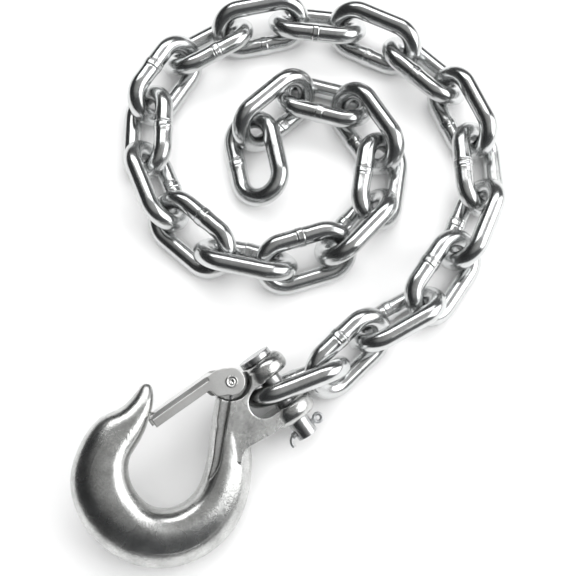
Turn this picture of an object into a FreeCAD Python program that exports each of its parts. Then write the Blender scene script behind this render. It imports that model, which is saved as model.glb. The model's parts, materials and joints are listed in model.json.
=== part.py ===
import FreeCAD, Part
import math
import os

import Sketcher

from FreeCAD import Placement, Rotation, Vector

# A trailer safety chain: a forged clevis slip hook with a sprung latch, and twenty-four welded links
# of 10 mm wire that lie on a floor in a spiral. +Z is up and the floor is z = 0.
# In the hook's own frame X runs from the clevis pin to the bowl, Y is across, away from the tip,
# and Z is square to its flat faces. In a link's own frame X is its long axis and Z its normal.

# Where the links meet on the floor, east and north of the clevis pin's middle, from the free end to
# the pin. Each link lies along one span; the chain is slack, so a span is shorter than a link's pitch.
CHAIN_ROUTE = (
    (-9, 119), (-15, 148), (11, 172), (40, 164), (58, 135), (53, 103), (31, 79), (-1, 69), (-33, 76),
    (-59, 99), (-72, 131), (-72, 165), (-54, 194), (-26, 211), (6, 218), (39, 214), (70, 199),
    (95, 175), (109, 143), (110.5, 108), (97.5, 77.5), (78, 48.5), (47, 30.5), (27, 11), (-5.5, -2),
)
LINKS = len(CHAIN_ROUTE) - 1
# Degrees that each link is rolled about its length, where it differs from its neighbours but one.
ODD_ROLLS = {1: -27, 2: 60, 3: -30, 22: 48, 23: -52, 24: 70}
WELD_ON_OUTER_LEG = (1, 12)
# The weld swell starts this share of the wire's radius from the wire's middle.
WELD_FOOT = 0.96
# Where the latch's wide root ends and its bent channel begins, from the rivet.
LATCH_SHOULDER = 8
# The cotter pin's bent leg is an arc through these places, from where it leaves the clevis pin.
COTTER_BEND = ((1.6, 1.1), (2.4, 4.8))
# The wire at the cotter pin's eye and bent end, as a share of its radius where the legs lie together.
COTTER_SINGLE = 0.6
# How far each spring leg is turned from the face it presses, in degrees.
SHOULDER_LEG_SLANT = 14
ARM_LEG_SLANT = 14

SIZES = {
    "wire": 10,
    "through": 30,
    "link_inside_length": 36.5,
    "link_inside_width": 14.3,
    "weld_radius": 5.45,
    "weld_half_length": 3.8,
    "outer_raised_roll": 52,
    "inner_raised_roll": -39,
    "last_link_height": 19.2,
    "hook_heading": 217,
    "hook_roll": -20,
    "hook_rise": 3,
    "pin_east": -12.2,
    "pin_north": -71.6,
    "pin_up": 20.4,
    "fork_gap": 15.6,
    "fork_depth": 18.5,
    "ear_thickness": 10.2,
    "ear_radius": 12.5,
    "ear_proud": 1.2,
    "draft": 9,
    "body_thickness": 20,
    "pin_diameter": 11,
    "pin_fit": 0.1,
    "pin_head_diameter": 17,
    "pin_head_thickness": 3,
    "pin_tail": 10,
    "cotter_place": 6,
    "cotter_wire": 1.6,
    "cotter_eye_radius": 2.1,
    "pivot_along": 18,
    "pivot_across": -18,
    "boss_low": -7,
    "boss_high": 2.2,
    "boss_radius": 5.8,
    "recess_radius": 9.5,
    "shank_angle": 45,
    "rail_length": 38,
    "rail_end_radius": 19,
    "rail_side": 0.7,
    "rail_cut_width": 16,
    "rivet_diameter": 5,
    "rivet_fit": 0.05,
    "rivet_head_diameter": 6.4,
    "rivet_dome": 1.2,
    "cheek_radius": 6.8,
    "latch_length": 43,
    "latch_angle": -1,
    "latch_back": 9,
    "latch_bend": 2.3,
    "latch_flange": 4,
    "tip_notch_length": 3.4,
    "tip_notch_width": 12.4,
    "latch_inside_width": 14.4,
    "latch_sheet": 1.6,
    "spring_wire": 1.1,
    "spring_radius": 3.9,
    "spring_pitch": 1.25,
    "spring_whole_turns": 3,
    "spring_leg": 10,
}
doc = FreeCAD.newDocument("safety_chain_hook")
sheet = doc.addObject("Spreadsheet::Sheet", "Sizes")
for row, (alias, value) in enumerate(SIZES.items(), start=1):
    sheet.set("A%d" % row, alias)
    sheet.set("B%d" % row, str(value))
    sheet.setAlias("B%d" % row, alias)
doc.recompute()


def cell(alias):
    return float(sheet.get(alias))


def new_body(label):
    body = doc.addObject("PartDesign::Body", label)
    body.Label = label
    return body


def sketch_on(body, role, name, offset=Placement()):
    plane = [p for p in body.Origin.OriginFeatures if p.Role == role][0]
    sketch = body.newObject("Sketcher::SketchObject", name)
    sketch.AttachmentSupport = (plane, [""])
    sketch.MapMode = "FlatFace"
    sketch.AttachmentOffset = offset
    return sketch


def bind(feature, **expressions):
    for prop, expression in expressions.items():
        feature.setExpression(prop, expression)


def chain_link(label, weld_side):
    """A round wire bent to a long ring, with its weld swell in the middle of one leg."""
    body = new_body(label)
    path = sketch_on(body, "XY_Plane", label + "_path")
    half_leg = (cell("link_inside_length") - cell("link_inside_width")) / 2
    bend = (cell("link_inside_width") + cell("wire")) / 2
    for side in (1, -1):
        centre = Vector(side * half_leg, 0, 0)
        circle = Part.Circle(centre, Vector(0, 0, 1), bend)
        start = -math.pi / 2 if side == 1 else math.pi / 2
        path.addGeometry(Part.ArcOfCircle(circle, start, start + math.pi), False)
        ends = (Vector(side * half_leg, side * bend, 0), Vector(-side * half_leg, side * bend, 0))
        path.addGeometry(Part.LineSegment(*ends), False)
    for this, after in ((0, 1), (1, 2), (2, 3), (3, 0)):
        path.addConstraint(Sketcher.Constraint("Tangent", this, 2, after, 1))
    path.addConstraint(Sketcher.Constraint("Horizontal", 1))
    path.addConstraint(Sketcher.Constraint("Symmetric", 0, 3, 2, 3, -1, 1))
    path.addConstraint(Sketcher.Constraint("Radius", 0, bend))
    path.addConstraint(Sketcher.Constraint("Distance", 1, 2 * half_leg))
    path.setExpression("Constraints[6]", "(Sizes.link_inside_width + Sizes.wire) / 2")
    path.setExpression("Constraints[7]", "Sizes.link_inside_length - Sizes.link_inside_width")
    ring = sketch_on(body, "YZ_Plane", label + "_wire")
    ring.addGeometry(Part.Circle(Vector(bend, 0, 0), Vector(0, 0, 1), cell("wire") / 2), False)
    ring.addConstraint(Sketcher.Constraint("DistanceX", -1, 1, 0, 3, bend))
    ring.addConstraint(Sketcher.Constraint("PointOnObject", 0, 3, -1))
    ring.addConstraint(Sketcher.Constraint("Diameter", 0, cell("wire")))
    ring.setExpression("Constraints[0]", "(Sizes.link_inside_width + Sizes.wire) / 2")
    ring.setExpression("Constraints[2]", "Sizes.wire")
    sweep = body.newObject("PartDesign::AdditivePipe", label + "_ring")
    sweep.Profile = ring
    sweep.Spine = (path, [])
    swell = sketch_on(body, "XY_Plane", label + "_swell", Placement(Vector(0, weld_side * bend, 0), Rotation()))
    half, top, foot = cell("weld_half_length"), cell("weld_radius"), WELD_FOOT * cell("wire") / 2
    swell.addGeometry(Part.Arc(Vector(-half, foot, 0), Vector(0, top, 0), Vector(half, foot, 0)), False)
    corners = (Vector(half, foot, 0), Vector(half, 0, 0), Vector(-half, 0, 0), Vector(-half, foot, 0))
    for start, end in zip(corners, corners[1:]):
        swell.addGeometry(Part.LineSegment(start, end), False)
    weld = body.newObject("PartDesign::Revolution", label + "_weld")
    weld.Profile = swell
    weld.ReferenceAxis = (swell, ["H_Axis"])
    weld.Angle = 360
    return body


# The bowl, tip and shank are one tapering bar. Each station is a point on its inner side, the point
# across from it on its outer side, and its thickness, from the tip round the bowl to the clevis.
BAR_STATIONS = (
    ((50.8, -40), (52.6, -41.9), 2.8),
    ((50.7, -38.6), (54.2, -42), 5.2),
    ((51.5, -36.2), (56.8, -41.3), 8),
    ((54, -32.4), (60.5, -40.2), 12),
    ((60, -27), (68, -39), 16.5),
    ((70, -20.5), (80, -40.8), 20),
    ((79, -16.5), (95, -36), 23),
    ((84.5, -9.5), (109, -24), 25),
    ((86.2, -1.5), (115.6, -6), 26),
    ((85, 7), (113.5, 14), 26),
    ((80, 13.5), (104.5, 30.5), 25),
    ((72, 17), (89, 41.5), 24),
    ((63, 16.5), (68.5, 45), 23),
    ((54, 11.5), (49.5, 39), 22),
    ((45, 3), (35, 26), 21),
    ((36, -6), (27, 14), 20),
)
# The bar's section is an oval that is thickest this share of its half width toward the inner side.
SECTION_CREST = 0.25
# How far the oval's curves run straight on from its four extreme points, on each side.
INNER_FULLNESS = 0.64
OUTER_FULLNESS = 0.53


def egg_quarters(half_wide, half_thick):
    """Four curves that meet where the section is widest and thickest."""
    for side, fullness in ((1, OUTER_FULLNESS), (-1, INNER_FULLNESS)):
        crest = -SECTION_CREST * half_wide
        edge = side * half_wide
        run = crest + (edge - crest) * fullness
        for up in (1, -1):
            yield (edge, 0), (edge, up * half_thick * fullness), (run, up * half_thick), (crest, up * half_thick)


def bar_section(body, number, inner, outer, thick):
    inner_point = Vector(inner[0], inner[1], 0)
    across = Vector(outer[0], outer[1], 0) - inner_point
    middle = inner_point + across * 0.5
    upright = Rotation(across, Vector(0, 0, 1), across.cross(Vector(0, 0, 1)), "XYZ")
    sketch = sketch_on(body, "XY_Plane", "bar_section_%02d" % number, Placement(middle, upright))
    outer_top, outer_low, inner_top, inner_low = egg_quarters(across.Length / 2, thick / 2)
    for poles in (outer_top, inner_top[::-1], inner_low, outer_low[::-1]):
        curve = Part.BezierCurve()
        curve.setPoles([Vector(x, y, 0) for x, y in poles])
        sketch.addGeometry(curve.toBSpline(), False)
    return sketch


def hook_bar(body):
    sections = [bar_section(body, n, *station) for n, station in enumerate(BAR_STATIONS)]
    loft = body.newObject("PartDesign::AdditiveLoft", "hook_bar")
    loft.Profile = sections[0]
    loft.Sections = sections[1:]
    loft.Ruled = False
    return loft


def outline(sketch, corners):
    """A closed outline through corners; a corner with a third value is rounded to that radius."""
    count = len(corners)
    points = [Vector(c[0], c[1], 0) for c in corners]
    joints = []
    for n in range(count):
        here, before, after = points[n], points[n - 1], points[(n + 1) % count]
        radius = corners[n][2] if len(corners[n]) > 2 else 0
        if not radius:
            joints.append((here, here, None))
            continue
        to_before = (before - here).normalize()
        to_after = (after - here).normalize()
        half = to_before.getAngle(to_after) / 2
        reach = radius / math.tan(half)
        centre = here + (to_before + to_after).normalize() * (radius / math.sin(half))
        middle = centre + (here - centre).normalize() * radius
        joints.append((here + to_before * reach, here + to_after * reach, middle))
    for n in range(count):
        entry, leave, middle = joints[n]
        if middle is not None:
            sketch.addGeometry(Part.Arc(entry, middle, leave), False)
        sketch.addGeometry(Part.LineSegment(leave, joints[(n + 1) % count][0]), False)


def pad(body, sketch, name, **expressions):
    feature = body.newObject("PartDesign::Pad", name)
    feature.Profile = sketch
    bind(feature, **expressions)
    return feature


def across_cylinder(body, name, kind, radius, low, high):
    """A cylinder about the clevis pin's axis, between two places across the hook."""
    feature = body.newObject("PartDesign::%sCylinder" % kind, name)
    feature.AttachmentSupport = ([p for p in body.Origin.OriginFeatures if p.Role == "XZ_Plane"][0], [""])
    feature.MapMode = "FlatFace"
    bind(feature, Radius=radius, Height="(%s) - (%s)" % (high, low))
    feature.setExpression("AttachmentOffset.Base.z", "-(%s)" % high)
    return feature


def upright_cylinder(body, name, kind, radius, low, high):
    """A cylinder about the latch rivet's axis, between two places through the hook."""
    feature = body.newObject("PartDesign::%sCylinder" % kind, name)
    feature.AttachmentSupport = ([p for p in body.Origin.OriginFeatures if p.Role == "XY_Plane"][0], [""])
    feature.MapMode = "FlatFace"
    bind(feature, Radius=radius, Height="(%s) - (%s)" % (high, low))
    feature.setExpression("AttachmentOffset.Base.x", "Sizes.pivot_along")
    feature.setExpression("AttachmentOffset.Base.y", "Sizes.pivot_across")
    feature.setExpression("AttachmentOffset.Base.z", low)
    return feature


def centred_disc(body, name, kind, radius, half):
    """A cylinder about the body's own Z, as far below its middle as above."""
    feature = body.newObject("PartDesign::%sCylinder" % kind, name)
    feature.AttachmentSupport = ([p for p in body.Origin.OriginFeatures if p.Role == "XY_Plane"][0], [""])
    feature.MapMode = "FlatFace"
    bind(feature, Radius=radius, Height="2 * (%s)" % half)
    feature.setExpression("AttachmentOffset.Base.z", "-(%s)" % half)
    return feature


def slanted_box(body, name, low, high):
    """Cuts the shank's inner edge down to a rail that the latch straddles when it is open."""
    feature = body.newObject("PartDesign::SubtractiveBox", name)
    feature.AttachmentSupport = ([p for p in body.Origin.OriginFeatures if p.Role == "XY_Plane"][0], [""])
    feature.MapMode = "FlatFace"
    bind(feature, Length="Sizes.rail_length", Height="(%s) - (%s)" % (high, low))
    bind(feature, Width="Sizes.rail_cut_width")
    turn = Rotation(Vector(0, 0, 1), cell("shank_angle"))
    corner = turn.multVec(Vector(0, cell("rail_side") - cell("rail_cut_width"), 0))
    pivot = Vector(cell("pivot_along"), cell("pivot_across"), 0)
    feature.AttachmentOffset = Placement(pivot + corner, turn)
    feature.setExpression("AttachmentOffset.Base.z", low)
    return feature


def rail_end(body, name, low, high):
    """Curves the rail's cut away from the shank, so that it runs out in the bowl's wall."""
    across = "(Sizes.rail_side - Sizes.rail_end_radius)"
    cosine = "cos(Sizes.shank_angle)"
    sine = "sin(Sizes.shank_angle)"
    feature = upright_cylinder(body, name, "Subtractive", "Sizes.rail_end_radius", low, high)
    along_hook = "Sizes.pivot_along + Sizes.rail_length * %s - %s * %s" % (cosine, across, sine)
    across_hook = "Sizes.pivot_across + Sizes.rail_length * %s + %s * %s" % (sine, across, cosine)
    feature.setExpression("AttachmentOffset.Base.x", along_hook)
    feature.setExpression("AttachmentOffset.Base.y", across_hook)
    return feature


def clevis_outline(sketch):
    """The fork's arms and the root of the shank, without the slot, at the forging's parting plane."""
    outer = cell("fork_gap") / 2 + cell("ear_thickness") - cell("ear_proud")
    corners = (
        (0, outer), (15, outer, 16), (31, 14.5, 8), (38, 20), (44, 8), (36, -7), (24, -19), (12, -19, 3),
        (9, -outer, 4), (0, -outer),
    )
    outline(sketch, corners)


def slot_outline(sketch):
    """The gap between the ears, closed by a half round at its bottom."""
    half = cell("fork_gap") / 2
    depth = cell("fork_depth")
    behind = -2 * cell("ear_radius")
    outline(sketch, ((behind, -half), (depth, -half, half - 0.01), (depth, half, half - 0.01), (behind, half)))


def ear(body, name, side):
    """A round lump about the clevis pin's axis, on one side of the fork, with its rims forged round."""
    inner = side * cell("fork_gap") / 2
    outer = side * (cell("fork_gap") / 2 + cell("ear_thickness"))
    radius = cell("ear_radius")
    half = sketch_on(body, "XY_Plane", name + "_half")
    outline(half, ((0, inner), (radius, inner, 3), (radius, outer, 5), (0, outer)))
    lump = body.newObject("PartDesign::Revolution", name)
    lump.Profile = half
    lump.ReferenceAxis = (half, ["V_Axis"])
    lump.Angle = 360
    return lump


def hook():
    body = new_body("hook_body")
    hook_bar(body)
    fork = sketch_on(body, "XY_Plane", "clevis_outline")
    clevis_outline(fork)
    plate = pad(body, fork, "clevis", Length="Sizes.body_thickness / 2", Length2="Sizes.body_thickness / 2")
    plate.SideType = "Two sides"
    bind(plate, TaperAngle="-Sizes.draft", TaperAngle2="-Sizes.draft")
    ear(body, "tail_ear", 1)
    ear(body, "head_ear", -1)
    slot = sketch_on(body, "XY_Plane", "fork_slot")
    slot_outline(slot)
    cut = body.newObject("PartDesign::Pocket", "slot")
    cut.Profile = slot
    cut.Midplane = True
    bind(cut, Length="4 * Sizes.ear_radius")
    bore = "Sizes.pin_diameter / 2 + Sizes.pin_fit"
    across_cylinder(body, "pin_bore", "Subtractive", bore, "-Sizes.through", "Sizes.through")
    recess = "Sizes.recess_radius"
    upright_cylinder(body, "upper_recess", "Subtractive", recess, "Sizes.boss_high", "Sizes.through")
    upright_cylinder(body, "lower_recess", "Subtractive", recess, "-Sizes.through", "Sizes.boss_low")
    slanted_box(body, "upper_rail", "-Sizes.boss_low", "Sizes.through")
    slanted_box(body, "lower_rail", "-Sizes.through", "Sizes.boss_low")
    rail_end(body, "upper_rail_end", "-Sizes.boss_low", "Sizes.through")
    rail_end(body, "lower_rail_end", "-Sizes.through", "Sizes.boss_low")
    upright_cylinder(body, "boss", "Additive", "Sizes.boss_radius", "Sizes.boss_low", "Sizes.boss_high")
    rivet_bore = "Sizes.rivet_diameter / 2 + Sizes.rivet_fit"
    upright_cylinder(body, "rivet_bore", "Subtractive", rivet_bore, "-Sizes.through", "Sizes.through")
    return body


def clevis_pin():
    """A headed pin whose axis is the hook's Y; its tail has a cross hole for the cotter pin."""
    body = new_body("clevis_pin")
    radius = "Sizes.pin_diameter / 2"
    face = "Sizes.fork_gap / 2 + Sizes.ear_thickness"
    across_cylinder(body, "shank_of_pin", "Additive", radius, "-(%s)" % face, "%s + Sizes.pin_tail" % face)
    head_low = "-(%s + Sizes.pin_head_thickness)" % face
    across_cylinder(body, "head", "Additive", "Sizes.pin_head_diameter / 2", head_low, "-(%s)" % face)
    hole = body.newObject("PartDesign::SubtractiveCylinder", "cotter_hole")
    hole.AttachmentSupport = ([p for p in body.Origin.OriginFeatures if p.Role == "YZ_Plane"][0], [""])
    hole.MapMode = "FlatFace"
    bind(hole, Radius="Sizes.cotter_wire + Sizes.rivet_fit", Height="2 * Sizes.pin_diameter")
    hole.setExpression("AttachmentOffset.Base.x", "%s + Sizes.cotter_place" % face)
    hole.setExpression("AttachmentOffset.Base.z", "-Sizes.pin_diameter")
    return body


def cotter_pin():
    """A split pin through the clevis pin's tail: an eye, two half-round legs closed to a round, bent ends."""
    across = cell("fork_gap") / 2 + cell("ear_thickness") + cell("cotter_place")
    radius = cell("cotter_wire")
    pin_radius = cell("pin_diameter") / 2
    body = new_body("cotter_pin")
    yz_plane = ([p for p in body.Origin.OriginFeatures if p.Role == "YZ_Plane"][0], [""])
    leg = body.newObject("PartDesign::AdditiveCylinder", "legs")
    leg.AttachmentSupport = yz_plane
    leg.MapMode = "FlatFace"
    bind(leg, Radius="Sizes.cotter_wire", Height="Sizes.pin_diameter + 2 * Sizes.cotter_wire")
    leg.AttachmentOffset = Placement(Vector(across, 0, -pin_radius - radius), Rotation())
    eye = body.newObject("PartDesign::AdditiveTorus", "eye")
    eye.AttachmentSupport = ([p for p in body.Origin.OriginFeatures if p.Role == "XY_Plane"][0], [""])
    eye.MapMode = "FlatFace"
    bind(eye, Radius1="Sizes.cotter_eye_radius", Radius2="Sizes.cotter_wire * %s" % COTTER_SINGLE)
    eye.AttachmentOffset = Placement(Vector(-pin_radius - radius - 2, across, 0), Rotation())
    path = sketch_on(body, "XY_Plane", "bent_path")
    start = Vector(pin_radius + radius, across, 0)
    middle, end = (start + Vector(out, aside, 0) for out, aside in COTTER_BEND)
    path.addGeometry(Part.Arc(start, middle, end), False)
    tail = sketch_on(body, "YZ_Plane", "bent_wire", Placement(Vector(0, 0, start.x), Rotation()))
    tail.addGeometry(Part.Circle(Vector(across, 0, 0), Vector(0, 0, 1), radius * COTTER_SINGLE), False)
    sweep = body.newObject("PartDesign::AdditivePipe", "bent_leg")
    sweep.Profile = tail
    sweep.Spine = (path, [])
    return body


def channel_section(back, bend, flange, half, thick):
    """A channel of even thickness, open toward +Y, whose two long bends are cut off at 45 degrees."""
    fold = bend - back
    lip = fold + flange
    inside = half - thick
    nip = thick * (math.sqrt(2) - 1)
    flat = half - bend
    outer = ((lip, -half), (fold, -half), (-back, -flat), (-back, flat), (fold, half), (lip, half))
    inner = ((lip, inside), (fold + nip, inside), (thick - back, flat - nip), (thick - back, nip - flat),
             (fold + nip, -inside), (lip, -inside))
    return outer + inner


def latch():
    """A stamped channel: two round cheeks on the rivet and an arm whose end closes on the hook's tip."""
    body = new_body("latch")
    cheek = cell("cheek_radius")
    length = cell("latch_length")
    back = cell("latch_back")
    fold = cell("latch_bend") - back
    edge = fold + cell("latch_flange")
    thick = cell("latch_sheet")
    half = cell("latch_inside_width") / 2 + thick
    section = sketch_on(body, "YZ_Plane", "arm_section", Placement(Vector(0, 0, LATCH_SHOULDER), Rotation()))
    outline(section, channel_section(back, cell("latch_bend"), cell("latch_flange"), half, thick))
    arm = pad(body, section, "arm")
    bind(arm, Length="Sizes.latch_length - %s" % LATCH_SHOULDER)
    side = sketch_on(body, "XY_Plane", "cheek_side")
    corners = (
        (-2.5, -6), (3.5, -back, 2), (LATCH_SHOULDER + 1, -back), (LATCH_SHOULDER + 1, fold), (14, fold),
        (14, edge), (11.5, edge, 1.5), (10, 2, 2), (4, 5), (-3, 2),
    )
    outline(side, corners)
    pad(body, side, "cheek_plate", Length="Sizes.latch_inside_width + 2 * Sizes.latch_sheet").Midplane = True
    centred_disc(body, "cheeks", "Additive", "Sizes.cheek_radius", "Sizes.latch_inside_width / 2 + Sizes.latch_sheet")
    hollow = sketch_on(body, "XY_Plane", "latch_hollow")
    inside = thick - back
    web = 5.2
    outline(hollow, ((-12, -12), (web, -12), (web, inside), (14, inside), (14, 12), (-12, 12)))
    pocket = body.newObject("PartDesign::Pocket", "hollow")
    pocket.Profile = hollow
    bind(pocket, Length="Sizes.latch_inside_width")
    pocket.Midplane = True
    centred_disc(body, "rivet_holes", "Subtractive", "Sizes.rivet_diameter / 2", "Sizes.through")
    notch = body.newObject("PartDesign::SubtractiveBox", "tip_notch")
    notch.AttachmentSupport = ([p for p in body.Origin.OriginFeatures if p.Role == "XY_Plane"][0], [""])
    notch.MapMode = "FlatFace"
    bind(notch, Length="2 * Sizes.tip_notch_length", Width="2 * Sizes.latch_sheet", Height="Sizes.tip_notch_width")
    notch.setExpression("AttachmentOffset.Base.x", "Sizes.latch_length - Sizes.tip_notch_length")
    notch.setExpression("AttachmentOffset.Base.y", "-Sizes.latch_back - Sizes.latch_sheet / 2")
    notch.setExpression("AttachmentOffset.Base.z", "-Sizes.tip_notch_width / 2")
    return body


def latch_rivet():
    body = new_body("latch_rivet")
    sketch = sketch_on(body, "XZ_Plane", "rivet_half")
    shank = cell("rivet_diameter") / 2
    head = cell("rivet_head_diameter") / 2
    half = cell("latch_inside_width") / 2 + cell("latch_sheet")
    dome = cell("rivet_dome")
    corners = ((0, -half - dome), (head * 0.7, -half - dome), (head, -half - dome * 0.4), (head, -half), (shank, -half),
               (shank, half), (head, half), (head, half + dome * 0.4), (head * 0.7, half + dome), (0, half + dome))
    outline(sketch, corners)
    turned = body.newObject("PartDesign::Revolution", "turned")
    turned.Profile = sketch
    turned.ReferenceAxis = (sketch, ["V_Axis"])
    turned.Angle = 360
    return body


def latch_spring():
    """A torsion spring round the rivet: one leg presses the recess's shoulder, one the arm's web."""
    wire = cell("spring_wire") / 2
    radius = cell("spring_radius")
    pitch = cell("spring_pitch")
    leg = cell("spring_leg")
    shoulder_leg = cell("shank_angle") - SHOULDER_LEG_SLANT
    start_angle = shoulder_leg + 90
    arm_leg = cell("latch_angle") - ARM_LEG_SLANT
    end_angle = arm_leg - 90
    turns = cell("spring_whole_turns") + (end_angle - start_angle) / 360
    coil = Part.makeHelix(pitch, pitch * turns, radius)
    coil.rotate(Vector(0, 0, 0), Vector(0, 0, 1), start_angle)
    coil.translate(Vector(0, 0, cell("boss_high") + wire + 0.15))
    bottom, top = (vertex.Point for vertex in (coil.Vertexes[0], coil.Vertexes[-1]))
    along_shoulder = Rotation(Vector(0, 0, 1), shoulder_leg).multVec(Vector(1, 0, 0))
    along_arm = Rotation(Vector(0, 0, 1), arm_leg).multVec(Vector(1, 0, 0))
    start = bottom + along_shoulder * (leg * 0.75)
    legs = (Part.makeLine(start, bottom), Part.makeLine(top, top + along_arm * leg))
    path = Part.Wire([legs[0]] + list(coil.Edges) + [legs[1]])
    profile = Part.Wire(Part.makeCircle(wire, start, bottom - start))
    spring = doc.addObject("Part::Feature", "latch_spring")
    spring.Label = "latch_spring"
    spring.Shape = path.makePipeShell([profile], True, True)
    return spring


def turned_to(heading, roll, rise):
    """The rotation that points X along a heading, then rolls it and lifts its far end."""
    turn = Rotation(Vector(0, 0, 1), heading)
    turn = turn.multiply(Rotation(Vector(1, 0, 0), roll))
    return turn.multiply(Rotation(Vector(0, 1, 0), -rise))


def link_roll(number):
    raised = "outer_raised_roll" if number % 2 == 0 else "inner_raised_roll"
    return ODD_ROLLS.get(number, cell(raised))


def weld_side(number):
    """Every weld is on the leg toward the middle of the spiral, except where one link was flipped."""
    return 1 if number in WELD_ON_OUTER_LEG else -1


def link_height(number):
    """The height of a rolled link's middle when its lower leg rests on the floor."""
    roll = link_roll(number)
    bend = (cell("link_inside_width") + cell("wire")) / 2
    weld_is_low = (roll > 0) == (weld_side(number) < 0)
    rests_on = cell("weld_radius") if weld_is_low else cell("wire") / 2
    return bend * abs(math.sin(math.radians(roll))) + rests_on


def chain_place(number):
    """A link lies along its span of the route, rolled, with its lower leg on the floor."""
    start, end = (Vector(east, north, 0) for east, north in CHAIN_ROUTE[number - 1:number + 1])
    middle = (start + end) * 0.5 + Vector(cell("pin_east"), cell("pin_north"), 0)
    span = end - start
    heading = math.degrees(math.atan2(span.y, span.x))
    middle.z = cell("last_link_height") if number == LINKS else link_height(number)
    return Placement(middle, turned_to(heading, link_roll(number), 0))


def build():
    pin_place = Vector(cell("pin_east"), cell("pin_north"), cell("pin_up"))
    hook_place = Placement(pin_place, turned_to(cell("hook_heading"), cell("hook_roll"), cell("hook_rise")))
    pivot = Placement(Vector(cell("pivot_along"), cell("pivot_across"), 0), Rotation())
    rivet_place = hook_place.multiply(pivot)
    swung = Placement(Vector(0, 0, 0), Rotation(Vector(0, 0, 1), cell("latch_angle")))
    made = [
        (hook(), hook_place),
        (clevis_pin(), hook_place),
        (cotter_pin(), hook_place),
        (latch(), rivet_place.multiply(swung)),
        (latch_rivet(), rivet_place),
        (latch_spring(), rivet_place),
    ]
    for number in range(1, LINKS + 1):
        made.append((chain_link("link_%02d" % number, weld_side(number)), chain_place(number)))
    doc.recompute()
    for item, place in made:
        item.Placement = place
    doc.recompute()
    return [item for item, place in made]


def check_and_write(items):
    for feature in doc.Objects:
        if "Invalid" in feature.State or "Error" in feature.State:
            raise RuntimeError("%s failed: %s" % (feature.Name, feature.State))
    os.makedirs("parts", exist_ok=True)
    for item in items:
        shape = item.Shape
        if shape.isNull() or not shape.isValid() or len(shape.Solids) != 1:
            raise RuntimeError("%s has no single valid solid" % item.Label)
        shape.Solids[0].exportStep("parts/%s.step" % item.Label)


check_and_write(build())
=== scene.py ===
"""The look of the safety chain hook: welded links, a forged hook, its sprung latch, pin and cotter."""
import json
import math

import bpy
import numpy as np
from mathutils import Matrix, Vector, noise


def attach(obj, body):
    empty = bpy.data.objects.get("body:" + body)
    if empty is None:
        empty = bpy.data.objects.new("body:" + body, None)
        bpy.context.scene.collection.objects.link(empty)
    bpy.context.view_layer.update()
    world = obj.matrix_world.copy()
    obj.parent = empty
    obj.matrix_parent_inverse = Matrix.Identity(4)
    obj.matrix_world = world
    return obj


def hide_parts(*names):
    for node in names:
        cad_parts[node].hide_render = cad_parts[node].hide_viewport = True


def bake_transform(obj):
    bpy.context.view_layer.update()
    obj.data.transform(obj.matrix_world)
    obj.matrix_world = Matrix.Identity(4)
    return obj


MM = 0.001
MM_PER_METRE = 1000

# Chain link, in millimetres, as in the CAD model.
WIRE = 5.0
HALF_LEG = 11.1
BEND = 12.15
LINKS = 24

# Clevis pin's middle and the hook's heading, roll and rise, as in the CAD model.
PIN = Vector((-12.2, -71.6, 20.4))
HEADING = 217
ROLL = -20
RISE = 3

# Places in the hook's own frame, in millimetres: the latch's pivot, the outer face of the pin's head, and the
# clevis plate's faces.
PIVOT = Vector((18, -18, 0))
HEAD_FACE = 21.0
PLATE_FACE = 10.0

# Noise scales of the zinc plate, per metre.
BLOTCH_SCALE = 90
GLOSS_SCALE = 60
DENT_SCALE = 140

# Each slot's material name, tint, roughness, grain depth, grain size in millimetres, and patchiness.
FINISHES = {
    "hook_forging": ("zinc_forging", (0.65, 0.655, 0.645), 0.27, 0.075, 1.0, 0.2),
    "chain_wire": ("zinc_chain", (0.66, 0.67, 0.67), 0.21, 0.012, 1.4, 0.08),
    "pin_steel": ("zinc_pin", (0.58, 0.585, 0.59), 0.27, 0.02, 0.8, 0.12),
    "cotter_wire": ("zinc_cotter", (0.54, 0.55, 0.56), 0.3, 0.02, 0.6, 0.12),
    "latch_sheet": ("zinc_latch", (0.72, 0.72, 0.71), 0.3, 0.01, 0.7, 0.06),
    "rivet_steel": ("zinc_rivet", (0.68, 0.68, 0.67), 0.26, 0.01, 0.6, 0.06),
    "spring_wire": ("spring_steel", (0.4, 0.41, 0.43), 0.3, 0.01, 0.5, 0.1),
}

# Sockets of the mix node, which are numbered because their names repeat.
MIX_AMOUNT, MIX_FIRST, MIX_SECOND, MIX_RESULT = 0, 6, 7, 2

# The wire's mesh and its weld, in millimetres.
WIRE_SIDES = 32
FINE_STEP = 0.22
COARSE_STEP = 1.0
FINE_SPAN = 6
SEAM_GAP = 0.2
WELD_SPAN = 8
TRIMMED_SPAN = 4.5
BEAD_HEIGHT = 0.4
BEAD_WIDTH = 2.7
FIN_HEIGHT = 0.26
FIN_WIDTH = 0.3
FIN_BEFORE = 1.1
FIN_AFTER = 1.5
FIN_AFTER_SHARE = 0.8
GROOVE_DEPTH = 0.16
GROOVE_WIDTH = 0.35
GROOVE_OFFSET = 0.75
DEEPEST_NICK = 0.18
FLAT_HEIGHT = 0.04
FLAT_VARIES = 0.12
FLAT_LENGTH = 2.2
WIRE_UNEVEN = 0.035

# The forging's dents, as (how often per millimetre, depth), the scale lost, and how near counts as on a face.
FORGE_DENTS = ((0.09, 0.08), (0.5, 0.02))
SCALE_LOST = 0.05
FACE_REACH = 0.3

# The dish in the pin's head.
DISH_DEPTH = 0.5
DISH_RADIUS = 4
DISH_OVAL = 1.35
HEAD_REACH = 0.6

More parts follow.
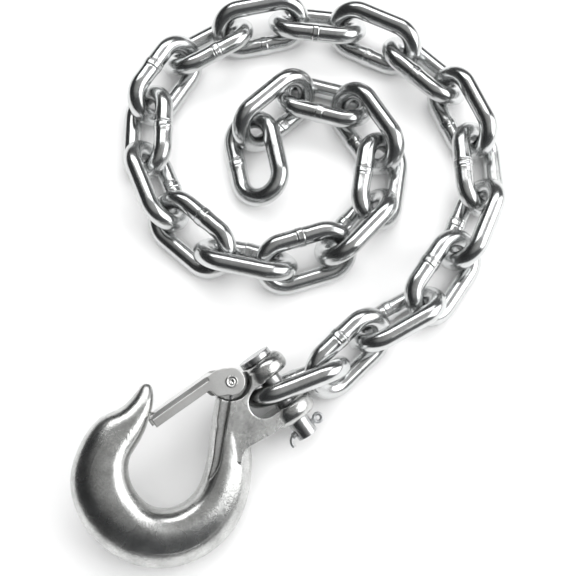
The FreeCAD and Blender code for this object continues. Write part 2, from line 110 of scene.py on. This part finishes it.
# The latch rivet's heads stand on the latch's cheeks. Each profile point is (radius, height over the cheek).
CHEEK_FACE = 8.8
RIVET_SHANK = 2.5
RIVET_SIDES = 48
RIVET_TIP = 0.001
RIVET_HEAD = (
    (0, -0.1), (0.55, 0.05), (0.95, 0.55), (1.35, 0.62), (1.7, 0.35),
    (2.1, 0.5), (2.6, 0.85), (2.95, 0.72), (3.2, 0.2), (3.2, 0),
)

# The studio, in metres and degrees.
FLOOR_HALF = 6
FLOOR_DROP = 0.0004
CAMERA_ELEVATION = 71
CAMERA_DISTANCE = 0.62
CAMERA_LENS = 73.4

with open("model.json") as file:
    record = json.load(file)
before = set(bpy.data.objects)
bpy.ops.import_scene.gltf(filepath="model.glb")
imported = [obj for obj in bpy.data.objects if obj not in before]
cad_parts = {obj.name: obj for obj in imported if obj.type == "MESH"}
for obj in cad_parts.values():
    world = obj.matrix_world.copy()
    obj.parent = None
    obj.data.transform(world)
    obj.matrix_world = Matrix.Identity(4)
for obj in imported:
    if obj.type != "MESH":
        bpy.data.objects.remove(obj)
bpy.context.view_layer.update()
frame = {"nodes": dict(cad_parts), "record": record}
nodes = frame["nodes"]
joints = {j["child"]: j for j in frame["record"]["behaviour"]["joints"]}


def hump(distance, width):
    """One at no distance, falling smoothly to nothing a few widths away."""
    return math.exp(-(distance / width) ** 2)


# ---------------------------------------------------------------- materials

def new_material(name):
    mat = bpy.data.materials.new(name)
    mat.use_nodes = True
    tree = mat.node_tree
    shader = tree.nodes["Principled BSDF"]
    return mat, tree, shader


def noise_node(tree, coords, scale, detail, rough):
    tex = tree.nodes.new("ShaderNodeTexNoise")
    tex.inputs["Scale"].default_value = scale
    tex.inputs["Detail"].default_value = detail
    tex.inputs["Roughness"].default_value = rough
    tree.links.new(coords.outputs["Object"], tex.inputs["Vector"])
    return tex.outputs["Fac"]


def mapped(tree, source, low, high, start=0.3, end=0.7):
    node = tree.nodes.new("ShaderNodeMapRange")
    node.inputs["From Min"].default_value = start
    node.inputs["From Max"].default_value = end
    node.inputs["To Min"].default_value = low
    node.inputs["To Max"].default_value = high
    tree.links.new(source, node.inputs["Value"])
    return node.outputs["Result"]


def colour_ramp(tree, source, stops):
    ramp = tree.nodes.new("ShaderNodeValToRGB")
    while len(ramp.color_ramp.elements) < len(stops):
        ramp.color_ramp.elements.new(0.5)
    for element, (place, colour) in zip(ramp.color_ramp.elements, stops):
        element.position = place
        element.color = (*colour, 1)
    tree.links.new(source, ramp.inputs["Fac"])
    return ramp.outputs["Color"]


def multiplied(tree, first, second):
    node = tree.nodes.new("ShaderNodeMix")
    node.data_type = "RGBA"
    node.blend_type = "MULTIPLY"
    node.inputs[MIX_AMOUNT].default_value = 1
    tree.links.new(first, node.inputs[MIX_FIRST])
    tree.links.new(second, node.inputs[MIX_SECOND])
    return node.outputs[MIX_RESULT]


def bumps(tree, shader, layers):
    """Stacks bump layers, each (height socket, strength, distance in millimetres)."""
    last = None
    for height, strength, distance in layers:
        bump = tree.nodes.new("ShaderNodeBump")
        bump.inputs["Strength"].default_value = strength
        bump.inputs["Distance"].default_value = distance * MM
        tree.links.new(height, bump.inputs["Height"])
        if last:
            tree.links.new(last, bump.inputs["Normal"])
        last = bump.outputs["Normal"]
    tree.links.new(last, shader.inputs["Normal"])


def zinc(name, tint, rough, grain, grain_size, patch):
    """Bright zinc plate: blotchy grey with a fine even grain in its colour, over soft dents."""
    mat, tree, shader = new_material(name)
    coords = tree.nodes.new("ShaderNodeTexCoord")
    shader.inputs["Metallic"].default_value = 1
    fine = noise_node(tree, coords, MM_PER_METRE / grain_size, 2, 0.5)
    blotch = noise_node(tree, coords, BLOTCH_SCALE, 3, 0.6)
    dark = tuple(c * (1 - patch) for c in tint)
    light = tuple(min(1, c * (1 + patch * 0.5)) for c in tint)
    cloudy = colour_ramp(tree, blotch, ((0.35, dark), (0.65, light)))
    speckled = multiplied(tree, cloudy, mapped(tree, fine, 1 - patch, 1))
    tree.links.new(speckled, shader.inputs["Base Color"])
    gloss = noise_node(tree, coords, GLOSS_SCALE, 2, 0.5)
    tree.links.new(mapped(tree, gloss, rough * 0.9, rough * 1.15), shader.inputs["Roughness"])
    soft = noise_node(tree, coords, DENT_SCALE, 1, 0.4)
    bumps(tree, shader, ((soft, 0.3, 0.06), (fine, 0.5, grain)))
    return mat


# ---------------------------------------------------------------- mesh helpers

def mesh_object(name, vertices, faces, material):
    mesh = bpy.data.meshes.new(name)
    mesh.from_pydata([tuple(v) for v in vertices], [], faces)
    mesh.materials.append(material)
    mesh.shade_smooth()
    mesh.update()
    obj = bpy.data.objects.new(name, mesh)
    bpy.context.scene.collection.objects.link(obj)
    return obj


def ring_faces(rings, sides, closed):
    faces = []
    for i in range(rings if closed else rings - 1):
        j = (i + 1) % rings
        for k in range(sides):
            m = (k + 1) % sides
            faces.append((i * sides + k, i * sides + m, j * sides + m, j * sides + k))
    return faces


def softened(name, node, material, voxel, rounds):
    """A fine, even mesh over a CAD node's shape whose sharp edges are worn round."""
    mesh = nodes[node].data.copy()
    obj = bpy.data.objects.new(name + "_source", mesh)
    bpy.context.scene.collection.objects.link(obj)
    remesh = obj.modifiers.new("even", "REMESH")
    remesh.mode = "VOXEL"
    remesh.voxel_size = voxel * MM
    smooth = obj.modifiers.new("worn", "SMOOTH")
    smooth.factor = 0.5
    smooth.iterations = rounds
    graph = bpy.context.evaluated_depsgraph_get()
    done = bpy.data.meshes.new_from_object(obj.evaluated_get(graph))
    bpy.data.objects.remove(obj)
    done.materials.clear()
    done.materials.append(material)
    done.shade_smooth()
    result = bpy.data.objects.new(name, done)
    bpy.context.scene.collection.objects.link(result)
    return result


def finish_piece(obj, body, replaced):
    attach(obj, body)
    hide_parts(replaced)


# ---------------------------------------------------------------- chain

def link_stations():
    """Places along the wire, closer at the weld, as (x, y, outward x, outward y, distance from the weld)."""
    arc = math.pi * BEND
    around = 2 * (2 * HALF_LEG + arc)
    places = []
    s = -around / 2
    while s < around / 2 - SEAM_GAP:
        places.append(s)
        s += FINE_STEP if abs(s) < FINE_SPAN else COARSE_STEP
    stations = []
    for s in places:
        side = abs(s)
        sign = 1 if s >= 0 else -1
        if side <= HALF_LEG:
            stations.append((sign * side, BEND, 0, 1, s))
        elif side <= HALF_LEG + arc:
            angle = math.pi / 2 - (side - HALF_LEG) / BEND
            out = (math.cos(angle), math.sin(angle))
            x = sign * (HALF_LEG + BEND * out[0])
            stations.append((x, BEND * out[1], sign * out[0], out[1], s))
        else:
            x = 2 * HALF_LEG + arc - side
            stations.append((sign * x, -BEND, 0, -1, s))
    return stations


def trimmed_radius(radius, s, angle, seed):
    """The trimming dies leave flats on four sides of the bead."""
    for quarter in range(4):
        skew = 0.7 * noise.noise(Vector((seed, quarter * 2.7, 0)))
        turn = angle - quarter * math.pi / 2 - 0.5 - skew
        facing = math.cos(turn)
        if facing > 0.6:
            spot = Vector((seed * 3.3, quarter, round(s / FLAT_LENGTH)))
            height = FLAT_HEIGHT + FLAT_VARIES * noise.noise(spot)
            radius = min(radius, (WIRE + height) / facing)
    return radius


def weld_radius(s, angle, seed):
    """The wire's radius near its weld: a swollen bead with a thin raised fin and a groove on each side."""
    around = Vector((math.cos(angle) * 1.4, math.sin(angle) * 1.4, seed * 7.3))
    at = s - 0.5 * noise.noise(around)
    ragged = 0.5 + 0.5 * noise.noise(around * 3.1 + Vector((0, 0, s)))
    before = FIN_BEFORE + 0.5 * noise.noise(Vector((seed * 1.7, 0, 0)))
    after = FIN_AFTER + 0.6 * noise.noise(Vector((0, seed * 1.7, 0)))
    fins = hump(at + before, FIN_WIDTH) + FIN_AFTER_SHARE * hump(at - after, FIN_WIDTH)
    grooves = hump(at + before + GROOVE_OFFSET, GROOVE_WIDTH)
    grooves += hump(at - after - GROOVE_OFFSET, GROOVE_WIDTH)
    radius = WIRE + BEAD_HEIGHT * hump(at, BEAD_WIDTH)
    if abs(s) < TRIMMED_SPAN:
        radius = trimmed_radius(radius, s, angle, seed)
    return max(radius + FIN_HEIGHT * ragged * fins - GROOVE_DEPTH * grooves, WIRE - DEEPEST_NICK)


def place_of_link(number):
    """The link's own frame, X along it toward the clevis and Z square to it, and its weld's side in Y."""
    joint = joints["chain_link_%02d" % number]
    normal = Vector(joint["axis"]).normalized()
    anchor = Vector(joint["pos_m"]) / MM
    mesh = nodes["link_%02d" % number].data
    flat = np.empty(len(mesh.vertices) * 3)
    mesh.vertices.foreach_get("co", flat)
    points = flat.reshape(-1, 3) / MM
    if number == LINKS:
        # the last link's joint lies on the clevis pin, so its normal comes from its own thinnest direction
        centred = points - points.mean(axis=0)
        normal = Vector(np.linalg.eigh(centred.T @ centred)[1][:, 0])
    across = np.array(normal)
    corner = points - np.outer(points @ across, across)
    spread = corner - corner.mean(axis=0)
    along = Vector(np.linalg.eigh(spread.T @ spread)[1][:, 2]).normalized()
    side = normal.cross(along).normalized()
    basis = np.array([along, side, normal])
    local = points @ basis.T
    middle = Vector(((local.max(axis=0) + local.min(axis=0)) / 2))
    low, high = local[:, 1].min(), local[:, 1].max()
    # the bead makes one leg stand out further, so the middle comes from the plain ends
    ends = np.abs(local[:, 0] - middle.x) > HALF_LEG
    middle.y = (local[ends, 1].max() + local[ends, 1].min()) / 2
    weld = 1 if high - middle.y > middle.y - low else -1
    centre = along * middle.x + side * middle.y + normal * middle.z
    if (anchor - centre).dot(along) < 0:
        along, side, weld = -along, -side, -weld
    turn = Matrix((along, side, normal)).transposed()
    return Matrix.Translation(centre) @ turn.to_4x4(), weld


def link_vertices(stations, place, weld, number):
    vertices = []
    for x, y, out_x, out_y, s in stations:
        for k in range(WIRE_SIDES):
            angle = 2 * math.pi * k / WIRE_SIDES
            radius = weld_radius(s, angle, number) if abs(s) < WELD_SPAN else WIRE
            spot = Vector((s * 0.08, math.cos(angle), math.sin(angle) + number * 3.1))
            radius += WIRE_UNEVEN * noise.noise(spot)
            reach = radius * math.cos(angle)
            point = Vector((x + out_x * reach, (y + out_y * reach) * weld, radius * math.sin(angle)))
            vertices.append((place @ point) * MM)
    return vertices


def make_links(material):
    stations = link_stations()
    for number in range(1, LINKS + 1):
        place, weld = place_of_link(number)
        faces = ring_faces(len(stations), WIRE_SIDES, True)
        if weld > 0:
            faces = [face[::-1] for face in faces]
        name = "link_%02d" % number
        obj = mesh_object("wire_" + name, link_vertices(stations, place, weld, number), faces, material)
        finish_piece(obj, "chain_" + name, name)


# ---------------------------------------------------------------- hook

def hook_place():
    turn = Matrix.Rotation(math.radians(HEADING), 4, "Z")
    turn = turn @ Matrix.Rotation(math.radians(ROLL), 4, "X")
    turn = turn @ Matrix.Rotation(math.radians(-RISE), 4, "Y")
    return Matrix.Translation(PIN) @ turn


def shaped(obj, place, change):
    """Moves each vertex, given in the hook's own frame in millimetres, by what change returns."""
    back = place.inverted()
    mesh = obj.data
    for vertex, normal in zip(mesh.vertices, [n.vector.copy() for n in mesh.vertex_normals]):
        local = back @ (vertex.co / MM)
        facing = back.to_3x3() @ normal
        vertex.co = (place @ (local + change(local, facing))) * MM
    mesh.update()


def forge_marks(local, facing):
    """Shallow dents and scale left by the forging dies."""
    dents = sum(noise.noise(local * often) * depth for often, depth in FORGE_DENTS)
    change = facing * (dents - SCALE_LOST)
    off_face = PLATE_FACE - abs(local.z)
    if abs(facing.z) > 0.9 and abs(off_face) < FACE_REACH:
        # the clevis plate's faces are struck flat where the shank runs into them
        change.z += math.copysign(off_face * (1 - abs(off_face) / FACE_REACH), local.z)
    return change


def dished_head(local, facing):
    """The pin's head has a shallow oval dish in it."""
    if local.y > -HEAD_FACE + HEAD_REACH:
        return facing * 0
    reach = math.hypot(local.x, local.z * DISH_OVAL)
    return facing * (-DISH_DEPTH * hump(reach, DISH_RADIUS))


def make_forging(place, material):
    hook = softened("forged_hook", "hook_body", material, voxel=0.42, rounds=7)
    shaped(hook, place, forge_marks)
    finish_piece(hook, "hook", "hook_body")


def make_latch(material):
    latch = softened("sheet_latch", "latch", material, voxel=0.2, rounds=3)
    finish_piece(latch, "gate", "latch")


def make_pin(place, material):
    pin = softened("headed_pin", "clevis_pin", material, voxel=0.25, rounds=4)
    shaped(pin, place, dished_head)
    finish_piece(pin, "pin", "clevis_pin")


def make_cotter(material):
    cotter = softened("split_cotter", "cotter_pin", material, voxel=0.14, rounds=2)
    finish_piece(cotter, "pin", "cotter_pin")


def make_rivet(place, material):
    """Both heads are low and round, with a set-down ring and a dimple in the middle."""
    head = [(radius, CHEEK_FACE + rise) for radius, rise in RIVET_HEAD]
    far_head = [(radius, -z) for radius, z in reversed(head)]
    profile = head + [(RIVET_SHANK, CHEEK_FACE), (RIVET_SHANK, -CHEEK_FACE)] + far_head
    centre = place @ Matrix.Translation(PIVOT)
    vertices = []
    for radius, z in profile:
        radius = max(radius, RIVET_TIP)
        for k in range(RIVET_SIDES):
            angle = 2 * math.pi * k / RIVET_SIDES
            point = Vector((radius * math.cos(angle), radius * math.sin(angle), z))
            vertices.append((centre @ point) * MM)
    faces = [face[::-1] for face in ring_faces(len(profile), RIVET_SIDES, False)]
    rivet = mesh_object("dimpled_rivet", vertices, faces, material)
    finish_piece(rivet, "gate", "latch_rivet")


def make_spring(material):
    """The coil winds up along the rivet, from its leg on the hook to its leg on the latch."""
    spring = softened("coil_spring", "latch_spring", material, voxel=0.14, rounds=2)
    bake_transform(spring)
    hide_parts("latch_spring")


def make_hook(materials):
    place = hook_place()
    make_forging(place, materials["hook_forging"])
    make_latch(materials["latch_sheet"])
    make_pin(place, materials["pin_steel"])
    make_cotter(materials["cotter_wire"])
    make_rivet(place, materials["rivet_steel"])
    make_spring(materials["spring_wire"])


# ---------------------------------------------------------------- studio

def make_floor():
    corners = [(-1, -1), (1, -1), (1, 1), (-1, 1)]
    mesh = bpy.data.meshes.new("floor")
    mesh.from_pydata([(x * FLOOR_HALF, y * FLOOR_HALF, 0) for x, y in corners], [], [(0, 1, 2, 3)])
    floor = bpy.data.objects.new("floor", mesh)
    bpy.context.scene.collection.objects.link(floor)
    mat, _, shader = new_material("pale_floor")
    shader.inputs["Base Color"].default_value = (0.93, 0.93, 0.93, 1)
    shader.inputs["Roughness"].default_value = 0.9
    mesh.materials.append(mat)
    floor.location.z = -FLOOR_DROP


def area_light(name, place, width, depth, energy, shows_in_gloss=True):
    light = bpy.data.lights.new(name, "AREA")
    light.energy = energy
    light.shape = "RECTANGLE"
    light.size = width
    light.size_y = depth
    obj = bpy.data.objects.new(name, light)
    obj.location = place
    obj.visible_glossy = shows_in_gloss
    obj.rotation_euler = (-Vector(place)).to_track_quat("-Z", "Y").to_euler()
    bpy.context.scene.collection.objects.link(obj)


def make_world():
    world = bpy.data.worlds.new("studio")
    world.use_nodes = True
    tree = world.node_tree
    back = tree.nodes["Background"]
    coords = tree.nodes.new("ShaderNodeTexCoord")
    split = tree.nodes.new("ShaderNodeSeparateXYZ")
    tree.links.new(coords.outputs["Generated"], split.inputs["Vector"])
    horizon = (0.16, 0.16, 0.16)
    low = (0.085, 0.087, 0.09)
    high = (0.075, 0.077, 0.08)
    overhead = (0.42, 0.42, 0.415)
    stops = ((0.0, horizon), (0.3, low), (0.74, high), (0.92, overhead))
    sky = colour_ramp(tree, split.outputs["Z"], stops)
    # the room is darker on the left
    shade = mapped(tree, split.outputs["X"], low=0.45, high=1.15, start=-0.6, end=0.4)
    tree.links.new(multiplied(tree, sky, shade), back.inputs["Color"])
    back.inputs["Strength"].default_value = 1.0
    bpy.context.scene.world = world


def make_camera():
    """Looks down at the part from the hook's side, far enough that links don't spread."""
    target = Vector((-6.6, -14.6, 13)) * MM
    elevation = math.radians(CAMERA_ELEVATION)
    camera = bpy.data.cameras.new("camera")
    camera.lens = CAMERA_LENS
    camera.sensor_width = 36
    camera.clip_start = 0.01
    obj = bpy.data.objects.new("camera", camera)
    obj.location = target + Vector((0, -math.cos(elevation), math.sin(elevation))) * CAMERA_DISTANCE
    obj.rotation_euler = (math.pi / 2 - elevation, 0, 0)
    bpy.context.scene.collection.objects.link(obj)
    bpy.context.scene.camera = obj


def make_studio():
    make_floor()
    make_world()
    area_light("key", (1.15, 0.0, 0.75), width=1.3, depth=1.15, energy=14)
    area_light("top", (0.0, 0.85, 1.1), width=1.4, depth=0.55, energy=8)
    area_light("floor_wash", (-0.2, -0.1, 1.6), width=3.2, depth=3.2, energy=42, shows_in_gloss=False)
    bpy.context.scene.view_settings.view_transform = "Standard"
    make_camera()


finishes = {slot: zinc(*look) for slot, look in FINISHES.items()}
make_links(finishes["chain_wire"])
make_hook(finishes)
make_studio()
